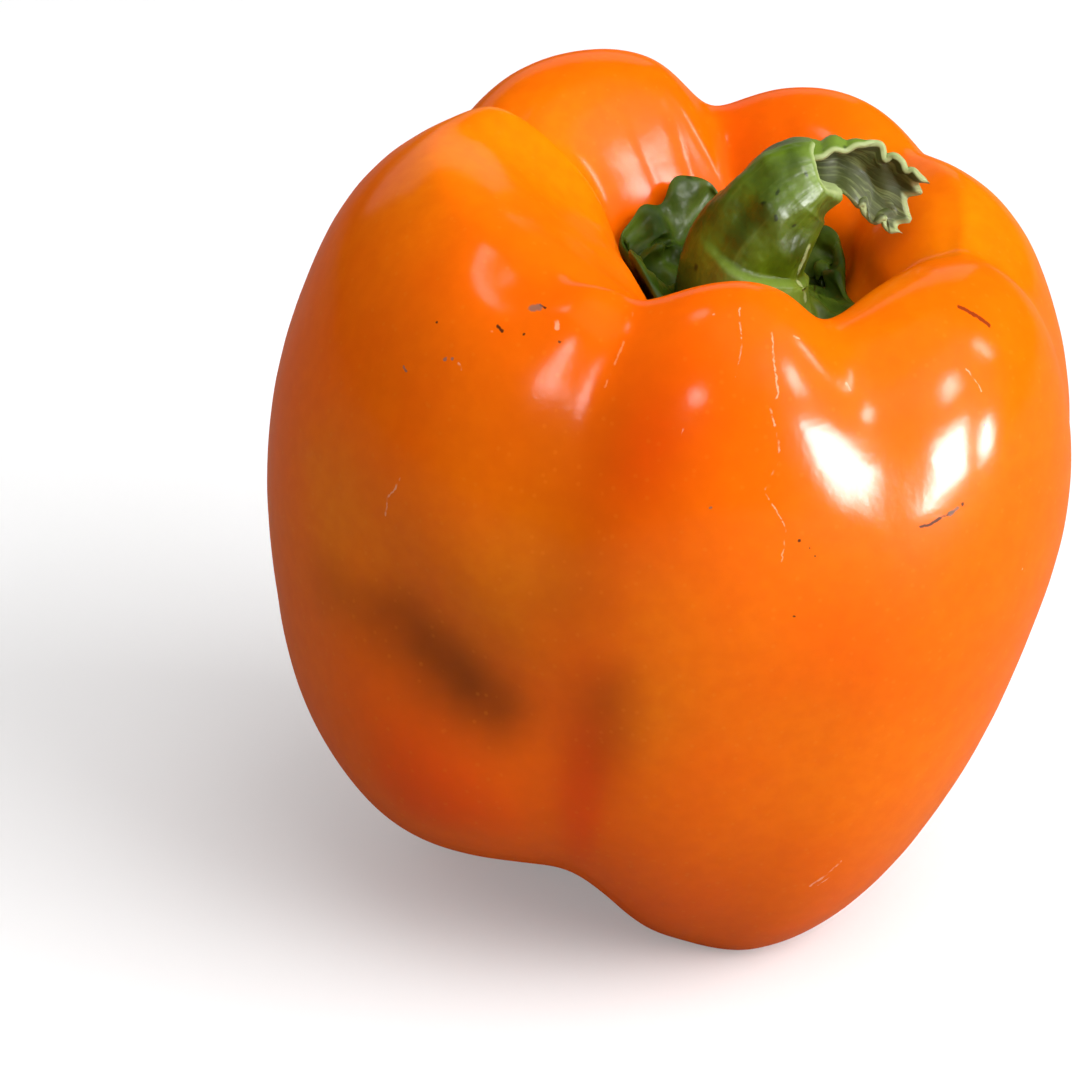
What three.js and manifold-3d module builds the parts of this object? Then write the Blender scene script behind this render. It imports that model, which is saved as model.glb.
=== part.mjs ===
// An orange bell pepper standing on the lobes of its foot: the fruit, and the green calyx and
// stem that grew as one piece in the hollow between its shoulders.
// Lengths are millimetres and angles degrees. An azimuth goes round the upright axis: -90 is the
// front, 0 the right, 90 the back. A place runs along the fruit's profile, from 0 at the blossom
// end underneath, over the shoulder, to 1 at the bottom of the stem hollow.
import * as THREE from 'three';
import { mergeVertices } from 'three/addons/utils/BufferGeometryUtils.js';
import Module from 'manifold-3d';

const wasm = await Module();
wasm.setup();

// Driving dimensions of the fruit

// [radius, height] of the skin over the middle of an average lobe, evenly numbered by place
const fruitProfile = [
  [0, 9.5], [7, 8], [12.5, 3.4], [18.5, 0.6], [25.3, 2.9], [32, 11.3], [37.5, 24], [41.3, 40],
  [43, 54], [42.2, 66], [38.4, 76.5], [31.5, 82.6], [24, 82], [18.2, 76], [14.6, 69.6],
  [8.5, 66.6], [0, 66],
];

// The ring inside the flesh that the creases are drawn towards, at the foot and at the shoulder
const spine = { footRadius: 15, footHeight: 16, topRadius: 24.5, topHeight: 64 };

// A crease runs between two lobes, from its azimuth at the foot to that at the top. Its depths at
// the foot, side and rim are shares of the way from the skin to the spine.
const creases = [
  { foot: -106, top: -108, footDepth: 0.53, sideDepth: 0.1, rimDepth: 0.27, width: 13 },
  { foot: -52, top: -67, footDepth: 0.02, sideDepth: 0.03, rimDepth: 0.31, width: 14 },
  { foot: -14, top: -7, footDepth: 0.12, sideDepth: 0.08, rimDepth: 0.3, width: 15 },
  { foot: 50, top: 38, footDepth: 0.06, sideDepth: 0.04, rimDepth: 0.22, width: 13 },
  { foot: 80, top: 87, footDepth: 0.3, sideDepth: 0.07, rimDepth: 0.27, width: 12 },
  { foot: 140, top: 146, footDepth: 0.15, sideDepth: 0.07, rimDepth: 0.32, width: 12 },
  { foot: 200, top: 214, footDepth: 0.05, sideDepth: 0.02, rimDepth: 0.05, width: 13 },
];
const creaseSoftness = 0.35; // rounds the bottom of a crease, as a share of its width
const creaseSpread = 0.5; // a crease is this much wider on the side of the fruit

// How each lobe differs from the average one: its side stands out by reach, its shoulder is higher
// by crown and further out by brow, it leans into the hollow by swell, and its foot is lifted by
// lift and stands out by toe.
const lobes = [
  { at: -91, reach: -0.5, crown: 2.8, brow: 0, swell: 0, lift: 0.3, toe: -5 },
  { at: -40, reach: 2.2, crown: -2.2, brow: 1, swell: 2.5, lift: 0, toe: 1.6 },
  { at: 10, reach: 1, crown: -1.2, brow: -2.2, swell: 4.5, lift: 1.5, toe: 0.4 },
  { at: 60, reach: 0, crown: 1.1, brow: 0, swell: 3, lift: 0, toe: -1 },
  { at: 124.5, reach: 0, crown: 4.5, brow: 1.8, swell: 0, lift: 0, toe: 0 },
  { at: 166, reach: 0, crown: 4.4, brow: -1.4, swell: 4, lift: 0, toe: -3.5 },
  { at: 202, reach: 0.2, crown: 3.8, brow: -1.6, swell: 5, lift: 7, toe: -11 },
  { at: 240, reach: 0, crown: 1, brow: -1, swell: 1.5, lift: 11.5, toe: -9.5 },
];
const lobeSharpness = 14; // how quickly one lobe's measures give way to the next one's
const toeRadius = 30; // toe and lift fade out from here towards the blossom end

// Folds of the skin along a line of [azimuth, place] points; a negative height is a groove
const folds = [
  { line: [[-112, 0.8], [-119, 0.74]], width: 3, height: -1.2 },
  { line: [[-119, 0.74], [-130, 0.68]], width: 5, height: -0.8 },
  { line: [[-113, 0.72], [-113, 0.67]], width: 5, height: 1.3 },
  { line: [[160, 0.755], [152, 0.79]], width: 7, height: 3.4 },
];
const degreeLength = 0.62; // of one degree along the upper skin
const placeLength = 180; // of the whole profile

// Soft dents in the left front lobe, slanting by tilt places a degree; a negative depth is a bulge
const dents = [
  { azimuth: -125, place: 0.462, width: 17, length: 0.042, tilt: -0.0016, depth: 2.4 },
  { azimuth: -134, place: 0.37, width: 20, length: 0.06, tilt: 0, depth: -1.6 },
];

// The axis stands at footX under the fruit, leans by topX at the shoulder, and the hollow's floor
// lies floorX further on
const axis = { footX: -4.45, topX: 8, bend: 1.15, height: 82, floorX: 5.8, centreY: -0.25 };
const restHeight = 2; // the lowest lobes are flattened here, where the fruit stands
const fruitColumns = 72;
const fruitRows = 40;

// Driving dimensions of the calyx and the stem

const calyxGap = 0.35; // between the calyx and the skin under it
const calyxRim = 0.893; // place of the calyx's edge between two sepals
const calyxCollar = 0.955; // place where the calyx turns up into the stem
const calyxThickness = 1.5;
const calyxEdge = 0.8; // thickness at the edge
// A sepal reaches over the skin by reach places; its edge is lifted off the skin by curl
const sepals = [
  { at: 103, reach: 0.066, width: 15.5, curl: 1.3 },
  { at: 121, reach: 0.028, width: 10, curl: 0.5 },
  { at: 139, reach: 0.05, width: 15.5, curl: 0.9 },
  { at: 43, reach: 0.056, width: 20, curl: 0.9 },
  { at: -10, reach: 0.014, width: 13, curl: 0.3 },
  { at: -62, reach: 0.04, width: 17, curl: 0.4 },
  { at: -122, reach: 0.042, width: 24, curl: 0.3 },
  { at: 180, reach: 0.05, width: 25, curl: 0.3 },
];
const sepalRibHeight = 0.9;
const sepalRibWidth = 10;
// Knobs on the sepals, and dimples where the height is negative
const sepalKnobs = [
  { azimuth: 128, place: 0.862, width: 7, length: 0.011, height: 1.5 },
  { azimuth: 131, place: 0.893, width: 8, length: 0.012, height: 1.7 },
  { azimuth: 103, place: 0.846, width: 8, length: 0.01, height: -0.7 },
  { azimuth: 116, place: 0.872, width: 6, length: 0.012, height: -0.9 },
  { azimuth: 30, place: 0.885, width: 9, length: 0.012, height: 1.4 },
  { azimuth: 44, place: 0.862, width: 8, length: 0.009, height: -0.8 },
];

// [x, y, z] and radius along the middle of the stem, from the calyx to the break
const stemLine = [
  { x: 7.4, y: 0, z: 69, radius: 6.9 },
  { x: 7.6, y: -0.2, z: 73.6, radius: 6.1 },
  { x: 9.7, y: -0.3, z: 78.1, radius: 5.3 },
  { x: 12.4, y: 0, z: 81.4, radius: 4.8 },
  { x: 15.6, y: 0.4, z: 83.2, radius: 3.5 },
];
const stemRibs = { count: 5, depth: 0.06, turn: 35, twist: 30 };
// The swollen sheath round the foot of the stem: thickest at an azimuth, it ends with a step at a
// share of the stem's length, a little lower at the right
const stemSheath = { azimuth: -72, width: 55, end: 0.275, slant: 0.015, step: 0.04, height: 1.4 };
// Lumps in the stem's bark: azimuth round it, share of its length, and size in millimetres
const stemLumps = [
  { azimuth: -60, along: 0.45, height: 0.6 },
  { azimuth: -115, along: 0.62, height: 0.5 },
  { azimuth: 20, along: 0.5, height: 0.6 },
  { azimuth: 140, along: 0.4, height: 0.7 },
];
const stemLumpWidth = 24;
const stemLumpLength = 0.1;
const breakSlant = 1.2; // the front of the broken end is this much shorter than the back
const breakDepth = 2; // of the hollow in the broken end
const breakWall = 0.66; // radius of that hollow, as a share of the stem's
const stemColumns = 60;
const barkShares = [0.24, 0.27, 0.29, 0.31, 0.36, 0.43, 0.5, 0.6, 0.7, 0.8, 0.9, 1];

// The torn strip of bark that folds over the break and hangs down, from root to tip: its lower edge
// at the back, its ridge, and a lip in front of the ridge that still points forwards
const flapLower = [[13.6, 0.8, 80.4], [17.6, 0.5, 80.2], [20.1, 0.1, 77.4], [23.9, -0.4, 76.2]];
const flapRidge = [[12.6, 1.2, 85.2], [17.6, 1.2, 86], [21.5, 0.8, 85.6], [26.9, -0.4, 81.3]];
const flapLip = new THREE.Vector3(0, -3.2, -0.8); // from the ridge to the front edge, at the stem
const flapLipShare = 0.3; // of the width of the strip, at the stem
const flapLipEnd = 0.62; // where the lip has run out, as a share of the length
const flapBow = 1.5; // the middle of the strip lies this much behind its edges
const flapThickness = 1.2;
const flapEdge = 0.8; // thickness at its edges
const flapTeeth = { count: 4, depth: 0.09 }; // of the torn end, as a share of the length
const flapSteps = { along: 14, across: 12 };

// Helpers

const radians = (degrees) => THREE.MathUtils.degToRad(degrees);
const mix = THREE.MathUtils.lerp;

// Rises smoothly from 0 where x is low to 1 where it is high
const ramp = (low, high, x) => THREE.MathUtils.smoothstep(x, low, high);

// The angle from b to a, between -180 and 180
const turnBetween = (a, b) => THREE.MathUtils.euclideanModulo(a - b + 180, 360) - 180;

// 1 at zero, falling to nothing within about two widths
const bump = (x, width) => Math.exp(-((x / width) ** 2));

// A solid from rings of points stacked from one pole to the other
function solidOfRings(startPole, rings, endPole) {
  const columns = rings[0].length;
  const points = [startPole, ...rings.flat(), endPole];
  const endIndex = points.length - 1;
  const at = (ring, column) => 1 + ring * columns + (column % columns);
  const faces = [];
  for (let column = 0; column < columns; column++) {
    faces.push(0, at(0, column + 1), at(0, column));
    for (let ring = 0; ring < rings.length - 1; ring++) {
      faces.push(at(ring, column), at(ring, column + 1), at(ring + 1, column + 1));
      faces.push(at(ring, column), at(ring + 1, column + 1), at(ring + 1, column));
    }
    faces.push(at(rings.length - 1, column), at(rings.length - 1, column + 1), endIndex);
  }
  return geometryOf(points, faces);
}

// A thin solid between two grids of points that lie over each other
function solidOfSheet(front, back) {
  const rows = front.length;
  const columns = front[0].length;
  const points = [...front.flat(), ...back.flat()];
  const at = (side, row, column) => side * rows * columns + row * columns + column;
  const faces = [];
  const quad = (a, b, c, d) => faces.push(a, b, c, a, c, d);
  for (let row = 0; row < rows - 1; row++) {
    for (let column = 0; column < columns - 1; column++) {
      quad(at(0, row, column), at(0, row + 1, column), at(0, row + 1, column + 1), at(0, row, column + 1));
      quad(at(1, row, column), at(1, row, column + 1), at(1, row + 1, column + 1), at(1, row + 1, column));
    }
    quad(at(0, row, 0), at(1, row, 0), at(1, row + 1, 0), at(0, row + 1, 0));
    const edge = columns - 1;
    quad(at(0, row, edge), at(0, row + 1, edge), at(1, row + 1, edge), at(1, row, edge));
  }
  for (let column = 0; column < columns - 1; column++) {
    quad(at(0, 0, column), at(0, 0, column + 1), at(1, 0, column + 1), at(1, 0, column));
    const end = rows - 1;
    quad(at(0, end, column), at(1, end, column), at(1, end, column + 1), at(0, end, column + 1));
  }
  return geometryOf(points, faces);
}

function geometryOf(points, faces) {
  const geometry = new THREE.BufferGeometry().setFromPoints(points);
  geometry.setIndex(faces);
  return geometry;
}

function manifoldOf(geometry) {
  const vertProperties = new Float32Array(geometry.attributes.position.array);
  const triVerts = new Uint32Array(geometry.index.array);
  return new wasm.Manifold(new wasm.Mesh({ numProp: 3, vertProperties, triVerts }));
}

function geometryOfManifold(manifold) {
  const { vertProperties, triVerts } = manifold.getMesh();
  const geometry = new THREE.BufferGeometry();
  geometry.setAttribute('position', new THREE.BufferAttribute(new Float32Array(vertProperties), 3));
  geometry.setIndex([...triVerts]);
  geometry.computeVertexNormals();
  return geometry;
}

// The fruit's skin

// A smooth line through four values, f of the way from the second to the third
function throughValues(before, from, to, after, f) {
  const linear = (to - before) * f;
  const square = (2 * before - 5 * from + 4 * to - after) * f * f;
  const cube = (3 * from - before - 3 * to + after) * f * f * f;
  return (2 * from + linear + square + cube) / 2;
}

// Radius and height of the average profile; it meets the axis level at both ends
function profileAt(place) {
  const spans = fruitProfile.length - 1;
  const span = Math.min(Math.floor(place * spans), spans - 1);
  const beyondAxis = ([radius, height]) => [-radius, height];
  const before = span === 0 ? beyondAxis(fruitProfile[1]) : fruitProfile[span - 1];
  const after = span === spans - 1 ? beyondAxis(fruitProfile[spans - 1]) : fruitProfile[span + 2];
  const [from, to] = fruitProfile.slice(span, span + 2);
  return [0, 1].map((i) => throughValues(before[i], from[i], to[i], after[i], place * spans - span));
}

// The measures of the lobes near an azimuth, blended by how near each is
function lobeAt(azimuth) {
  const weights = lobes.map(({ at }) => Math.exp(lobeSharpness * (Math.cos(radians(azimuth - at)) - 1)));
  const total = weights.reduce((sum, weight) => sum + weight);
  const blend = (measure) => lobes.reduce((sum, lobe, i) => sum + lobe[measure] * weights[i], 0) / total;
  return { reach: blend('reach'), crown: blend('crown'), brow: blend('brow'), swell: blend('swell'),
    lift: blend('lift'), toe: blend('toe') };
}

// The shortest way over the skin to a line of points
function wayToLine(azimuth, place, line) {
  const at = new THREE.Vector2();
  const from = new THREE.Vector2();
  const run = new THREE.Vector2();
  let shortest = Infinity;
  for (let i = 0; i < line.length - 1; i++) {
    const [[startAzimuth, startPlace], [endAzimuth, endPlace]] = line.slice(i, i + 2);
    from.set(turnBetween(azimuth, startAzimuth) * degreeLength, (place - startPlace) * placeLength);
    run.set((endAzimuth - startAzimuth) * degreeLength, (endPlace - startPlace) * placeLength);
    const share = THREE.MathUtils.clamp(from.dot(run) / run.lengthSq(), 0, 1);
    shortest = Math.min(shortest, at.copy(from).addScaledVector(run, -share).length());
  }
  return shortest;
}

// The point of the skin at an azimuth and a place
function skin(azimuth, place) {
  const [profileRadius, profileHeight] = profileAt(place);
  const shoulder = ramp(0.45, 0.74, place);
  const foot = 1 - ramp(0.14, 0.42, place);
  const side = 1 - Math.max(shoulder, foot);
  const awayFromPole = ramp(0, 9, profileRadius);

  let pinch = 0;
  for (const crease of creases) {
    const at = mix(crease.foot, crease.top, ramp(0.1, 0.8, place));
    const across = turnBetween(azimuth, at) / (crease.width * (1 + creaseSpread * side));
    const depth = crease.footDepth * foot + crease.sideDepth * side + crease.rimDepth * shoulder;
    pinch += depth * Math.exp(creaseSoftness - Math.hypot(across, creaseSoftness));
  }
  const up = ramp(0.28, 0.72, place);
  const spineRadius = mix(spine.footRadius, spine.topRadius, up);
  const spineHeight = mix(spine.footHeight, spine.topHeight, up);
  const spineDistance = Math.hypot(profileRadius - spineRadius, profileHeight - spineHeight);
  for (const { line, width, height } of folds) {
    pinch -= (height * bump(wayToLine(azimuth, place, line), width)) / spineDistance;
  }
  const kept = 1 - pinch * awayFromPole;
  let radius = mix(spineRadius, profileRadius, kept);
  let height = mix(spineHeight, profileHeight, kept);

  const lobe = lobeAt(azimuth);
  const inHollow = ramp(0.72, 0.84, place) * (1 - ramp(0.86, 0.97, place));
  const tucked = Math.sin((Math.PI / 2) * Math.min(profileRadius / toeRadius, 1));
  radius += awayFromPole * (lobe.reach * side + lobe.brow * shoulder * ramp(24, 34, profileRadius)
    - lobe.swell * inHollow + lobe.toe * foot * tucked);
  height += awayFromPole * (lobe.crown * shoulder * ramp(14, 26, profileRadius)
    + lobe.lift * foot * ramp(3, 24, profileRadius));
  for (const dent of dents) {
    const across = turnBetween(azimuth, dent.azimuth);
    const along = place - dent.place - dent.tilt * across;
    radius -= dent.depth * bump(across, dent.width) * bump(along, dent.length);
  }
  radius = Math.max(radius, 0);

  const risen = Math.max(height / axis.height, 0);
  const axisX = axis.footX + axis.topX * risen ** axis.bend + axis.floorX * ramp(0.7, 0.88, place);
  return new THREE.Vector3(
    axisX + radius * Math.cos(radians(azimuth)),
    axis.centreY + radius * Math.sin(radians(azimuth)),
    height - restHeight,
  );
}

// A point above the skin, out along its normal
function overSkin(azimuth, place, distance) {
  const point = skin(azimuth, place);
  const aside = skin(azimuth + 1, place).sub(skin(azimuth - 1, place));
  const inward = skin(azimuth, Math.min(place + 0.004, 1)).sub(skin(azimuth, place - 0.004));
  return point.addScaledVector(aside.cross(inward).normalize(), distance);
}

function ringOf(columns, pointAt) {
  return Array.from({ length: columns }, (_, column) => pointAt((column / columns) * 360));
}

// The fruit, flattened where its low lobes stand
function makeFruit() {
  const rings = [];
  for (let row = 1; row < fruitRows; row++) {
    rings.push(ringOf(fruitColumns, (azimuth) => skin(azimuth, row / fruitRows)));
  }
  const whole = manifoldOf(solidOfRings(skin(0, 0), rings, skin(0, 1)));
  const block = new THREE.BoxGeometry(200, 200, 20).translate(0, 0, -10);
  block.deleteAttribute('normal');
  block.deleteAttribute('uv');
  return geometryOfManifold(whole.subtract(manifoldOf(mergeVertices(block))));
}

// The calyx and the stem

// How far the sepals reach at an azimuth, and how much they curl up there
function sepalAt(azimuth) {
  let reach = 0;
  let curl = 0;
  let rib = 0;
  for (const sepal of sepals) {
    const away = turnBetween(azimuth, sepal.at);
    const blunt = Math.exp(-(Math.abs(away / sepal.width) ** 3));
    reach += sepal.reach * blunt;
    curl += sepal.curl * blunt;
    rib += bump(away, sepalRibWidth);
  }
  return { rim: calyxRim - reach, curl, rib };
}

// A point of the calyx: spread is 0 at the stem and 1 at its edge, level 0 underneath and 1 on top
function calyxPoint(azimuth, spread, level) {
  const sepal = sepalAt(azimuth);
  const place = mix(calyxCollar, sepal.rim, spread);
  const lifted = calyxGap + sepal.curl * spread ** 3;
  const ribs = sepalRibHeight * sepal.rib * ramp(0, 0.3, spread) * (1 - ramp(0.6, 1, spread));
  let thickness = mix(calyxThickness, calyxEdge, spread ** 2) + ribs;
  for (const knob of sepalKnobs) {
    thickness += knob.height * bump(turnBetween(azimuth, knob.azimuth), knob.width)
      * bump(place - knob.place, knob.length);
  }
  return overSkin(azimuth, place, lifted + thickness * level);
}

const stemCurve = new THREE.CatmullRomCurve3(stemLine.map(({ x, y, z }) => new THREE.Vector3(x, y, z - restHeight)));

// The stem's middle, its two cross directions, and its radius, at a share of its length
function stemFrame(along) {
  const t = Math.min(along * (stemLine.length - 1), stemLine.length - 1.001);
  const from = stemLine[Math.floor(t)].radius;
  const to = stemLine[Math.floor(t) + 1].radius;
  const tangent = stemCurve.getTangent(along);
  const right = new THREE.Vector3(0, 1, 0).cross(tangent).normalize();
  const back = tangent.clone().cross(right);
  return { centre: stemCurve.getPoint(along), tangent, right, back, radius: mix(from, to, t % 1) };
}

// 1 on the sheath, falling to 0 over its upper step and away from its middle
function sheathAt(azimuth, along) {
  const end = stemSheath.end - stemSheath.slant * Math.cos(radians(azimuth));
  return bump(turnBetween(azimuth, stemSheath.azimuth), stemSheath.width)
    * (1 - ramp(end, end + stemSheath.step, along));
}

// A point of the bark: ribs run up the stem, lumps stand on it, and its end slants
function barkPoint(azimuth, along, share = 1, sunk = 0) {
  const { centre, tangent, right, back, radius } = stemFrame(along);
  const ribs = Math.cos(radians(stemRibs.count * (azimuth - stemRibs.turn - stemRibs.twist * along)));
  let reach = radius * (1 + stemRibs.depth * ribs);
  for (const lump of stemLumps) {
    reach += lump.height * bump(turnBetween(azimuth, lump.azimuth), stemLumpWidth)
      * bump(along - lump.along, stemLumpLength);
  }
  reach += stemSheath.height * sheathAt(azimuth, along);
  const front = Math.max(-Math.sin(radians(azimuth)), 0);
  return centre.addScaledVector(right, share * reach * Math.cos(radians(azimuth)))
    .addScaledVector(back, share * reach * Math.sin(radians(azimuth)))
    .addScaledVector(tangent, -sunk - breakSlant * front * ramp(0.7, 1, along));
}

// The calyx turning up into the stem: a bend between the two, turn going from 0 to 1
function collarPoint(azimuth, turn) {
  const start = calyxPoint(azimuth, 0, 1);
  const end = barkPoint(azimuth, 0.2);
  const corner = barkPoint(azimuth, 0);
  corner.z = mix(start.z, corner.z, 0.5);
  return start.multiplyScalar((1 - turn) ** 2)
    .addScaledVector(corner, 2 * turn * (1 - turn))
    .addScaledVector(end, turn ** 2);
}

const sheetCurve = (points) =>
  new THREE.CatmullRomCurve3(points.map(([x, y, z]) => new THREE.Vector3(x, y, z - restHeight)));

const lowerCurve = sheetCurve(flapLower);
const ridgeCurve = sheetCurve(flapRidge);

// The middle surface of the strip: across goes from its lower edge over the ridge to the lip
function flapMiddle(share, across) {
  const tooth = Math.abs(((across * flapTeeth.count) % 1) - 0.5) * 2;
  const along = share * (1 - flapTeeth.depth * tooth);
  const fold = flapLipShare * Math.max(1 - share / flapLipEnd, 0);
  const upTo = Math.min(across / (1 - fold), 1);
  const point = lowerCurve.getPoint(along).lerp(ridgeCurve.getPoint(along), upTo);
  point.addScaledVector(flapLip, Math.max(across - 1 + fold, 0) / flapLipShare);
  point.y += flapBow * (1 - (2 * upTo - 1) ** 2);
  return point;
}

// The strip: a sheet of some thickness about that surface, thin at its edges, with a ragged end
function makeFlap() {
  const step = 0.02;
  const run = (start, end) => flapMiddle(...end).sub(flapMiddle(...start));
  const side = (level) => {
    const rows = [];
    for (let row = 0; row <= flapSteps.along; row++) {
      const points = [];
      for (let column = 0; column <= flapSteps.across; column++) {
        const share = row / flapSteps.along;
        const across = column / flapSteps.across;
        const normal = run([share, Math.max(across - step, 0)], [share, Math.min(across + step, 1)])
          .cross(run([Math.max(share - step, 0), across], [Math.min(share + step, 1), across]))
          .normalize();
        const thickness = mix(flapThickness, flapEdge, (2 * across - 1) ** 2);
        points.push(flapMiddle(share, across).addScaledVector(normal, level * thickness));
      }
      rows.push(points);
    }
    return rows;
  };
  return solidOfSheet(side(-0.5), side(0.5));
}

function makeStemWithCalyx() {
  const ring = (pointAt) => ringOf(stemColumns, pointAt);
  const rings = [
    ...[0.985, 0.97].map((place) => ring((azimuth) => overSkin(azimuth, place, calyxGap))),
    ...[0, 0.2, 0.4, 0.6, 0.8, 0.92, 1].map((spread) => ring((azimuth) => calyxPoint(azimuth, spread, 0))),
    ring((azimuth) => calyxPoint(azimuth, 1.04, 0.5)),
    ...[1, 0.92, 0.8, 0.6, 0.4, 0.2].map((spread) => ring((azimuth) => calyxPoint(azimuth, spread, 1))),
    ...[0, 0.25, 0.5, 0.75, 1].map((turn) => ring((azimuth) => collarPoint(azimuth, turn))),
    ...barkShares.map((along) => ring((azimuth) => barkPoint(azimuth, along))),
    ring((azimuth) => barkPoint(azimuth, 1, mix(1, breakWall, 0.5), -0.2)),
    ring((azimuth) => barkPoint(azimuth, 1, breakWall, 0.4)),
    ring((azimuth) => barkPoint(azimuth, 1, breakWall / 2, breakDepth)),
  ];
  const under = skin(0, 1).add(new THREE.Vector3(0, 0, calyxGap));
  const pith = barkPoint(0, 1, 0, breakDepth);
  const grown = manifoldOf(solidOfRings(under, rings, pith));
  return geometryOfManifold(grown.add(manifoldOf(makeFlap())));
}

function makeMesh(name, geometry, color, roughness) {
  const mesh = new THREE.Mesh(geometry, new THREE.MeshStandardMaterial({ color, roughness, metalness: 0 }));
  mesh.name = name;
  return mesh;
}

const pepper = new THREE.Group();
pepper.add(makeMesh('fruit', makeFruit(), 0xf0700f, 0.22));
pepper.add(makeMesh('stem_with_calyx', makeStemWithCalyx(), 0x4a7018, 0.5));

export default pepper;
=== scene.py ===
# An orange bell pepper: glossy lobed fruit, green calyx and a curved stem with a torn end.
# Shapes are worked out in millimetres and become metres when the mesh is made.
# Azimuths are degrees round the upright axis: -90 is the front, 0 the right, 90 the back.
import math
import bmesh
import bpy
import numpy as np
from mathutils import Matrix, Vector


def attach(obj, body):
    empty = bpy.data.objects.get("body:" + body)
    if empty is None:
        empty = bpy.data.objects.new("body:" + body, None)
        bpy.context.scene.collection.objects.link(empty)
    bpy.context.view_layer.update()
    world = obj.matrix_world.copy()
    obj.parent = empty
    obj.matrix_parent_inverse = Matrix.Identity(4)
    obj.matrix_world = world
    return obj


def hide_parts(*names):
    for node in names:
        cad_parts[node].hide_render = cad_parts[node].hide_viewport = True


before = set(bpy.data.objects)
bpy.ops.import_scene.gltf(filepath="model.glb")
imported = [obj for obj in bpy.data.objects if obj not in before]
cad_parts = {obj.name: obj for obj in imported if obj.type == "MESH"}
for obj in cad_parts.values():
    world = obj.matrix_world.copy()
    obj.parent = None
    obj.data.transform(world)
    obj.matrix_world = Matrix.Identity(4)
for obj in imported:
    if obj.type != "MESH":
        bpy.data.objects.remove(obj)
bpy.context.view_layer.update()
mm = 0.001
print("frame loaded")


# Rises smoothly from 0 where x is low to 1 where it is high
def ramp(low, high, x):
    t = np.clip((x - low) / (high - low), 0, 1)
    return t * t * (3 - 2 * t)


# 1 at zero, falling to nothing within about two widths
def bump(x, width):
    return np.exp(-((x / width) ** 2))


# The angle from b to a, between -180 and 180
def turnBetween(a, b):
    return (a - b + 180) % 360 - 180


# Soft uneven relief between about -1 and 1: a sum of sine waves that cross the points in
# random directions, their lengths spread round the given one
def ripple(points, length, seed, waves=18):
    draw = np.random.default_rng(seed)
    directions = draw.normal(size=(waves, 3))
    directions /= np.linalg.norm(directions, axis=1, keepdims=True)
    lengths = length * draw.uniform(0.7, 1.5, waves)
    phases = draw.uniform(0, 2 * np.pi, waves)
    waved = np.sin(points @ (directions * (2 * np.pi / lengths)[:, None]).T + phases)
    return waved.sum(axis=-1) / math.sqrt(waves)


# A smooth line through evenly numbered points, at shares t of its length: each span is the
# cubic that leaves a point in the direction between its two neighbours
def throughPoints(points, t, before=None, after=None):
    points = np.array(points, float)
    spans = len(points) - 1
    before = 2 * points[0] - points[1] if before is None else np.array(before, float)
    after = 2 * points[-1] - points[-2] if after is None else np.array(after, float)
    padded = np.vstack([before, points, after])
    place = np.clip(t, 0, 1) * spans
    span = np.minimum(place.astype(int), spans - 1)
    f = (place - span)[..., None]
    a, b, c, d = (padded[span + k] for k in range(4))
    return (2 * b + (c - a) * f + (2 * a - 5 * b + 4 * c - d) * f ** 2 + (3 * b - a - 3 * c + d) * f ** 3) / 2


# Unit normals of a grid of points, from the cross product of its two directions
def gridNormals(points):
    aside = np.roll(points, -1, axis=1) - np.roll(points, 1, axis=1)
    along = np.gradient(points, axis=0)
    normals = np.cross(aside, along)
    return normals / np.maximum(np.linalg.norm(normals, axis=-1, keepdims=True), 1e-9)


# A closed mesh from rings of points. The rings join round the columns, and the first and last
# ring are drawn together to a point or a line, where doubles are merged.
# Each field in fields is a number per point that the material can read.
def ringMesh(name, points, fields=None):
    rows, columns = points.shape[:2]
    row, column = np.meshgrid(np.arange(rows - 1), np.arange(columns), indexing="ij")
    row, column = row.ravel(), column.ravel()
    nextColumn = (column + 1) % columns
    faces = np.stack([row * columns + column, row * columns + nextColumn,
                      (row + 1) * columns + nextColumn, (row + 1) * columns + column], axis=1)
    mesh = bpy.data.meshes.new(name)
    mesh.from_pydata((points.reshape(-1, 3) * mm).tolist(), [], faces.tolist())
    u = np.stack([column, column + 1, column + 1, column], axis=1) / columns
    v = np.stack([row, row, row + 1, row + 1], axis=1) / (rows - 1)
    layer = mesh.uv_layers.new(name="surface")
    layer.data.foreach_set("uv", np.stack([u, v], axis=-1).ravel())
    for key, values in (fields or {}).items():
        attribute = mesh.attributes.new(key, "FLOAT", "POINT")
        attribute.data.foreach_set("value", np.broadcast_to(values, (rows, columns)).ravel().astype(np.float32))
    work = bmesh.new()
    work.from_mesh(mesh)
    bmesh.ops.remove_doubles(work, verts=work.verts, dist=1e-6)
    bmesh.ops.dissolve_degenerate(work, edges=work.edges, dist=1e-7)
    work.to_mesh(mesh)
    work.free()
    mesh.polygons.foreach_set("use_smooth", [True] * len(mesh.polygons))
    made = bpy.data.objects.new(name, mesh)
    bpy.context.collection.objects.link(made)
    return made


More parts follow.
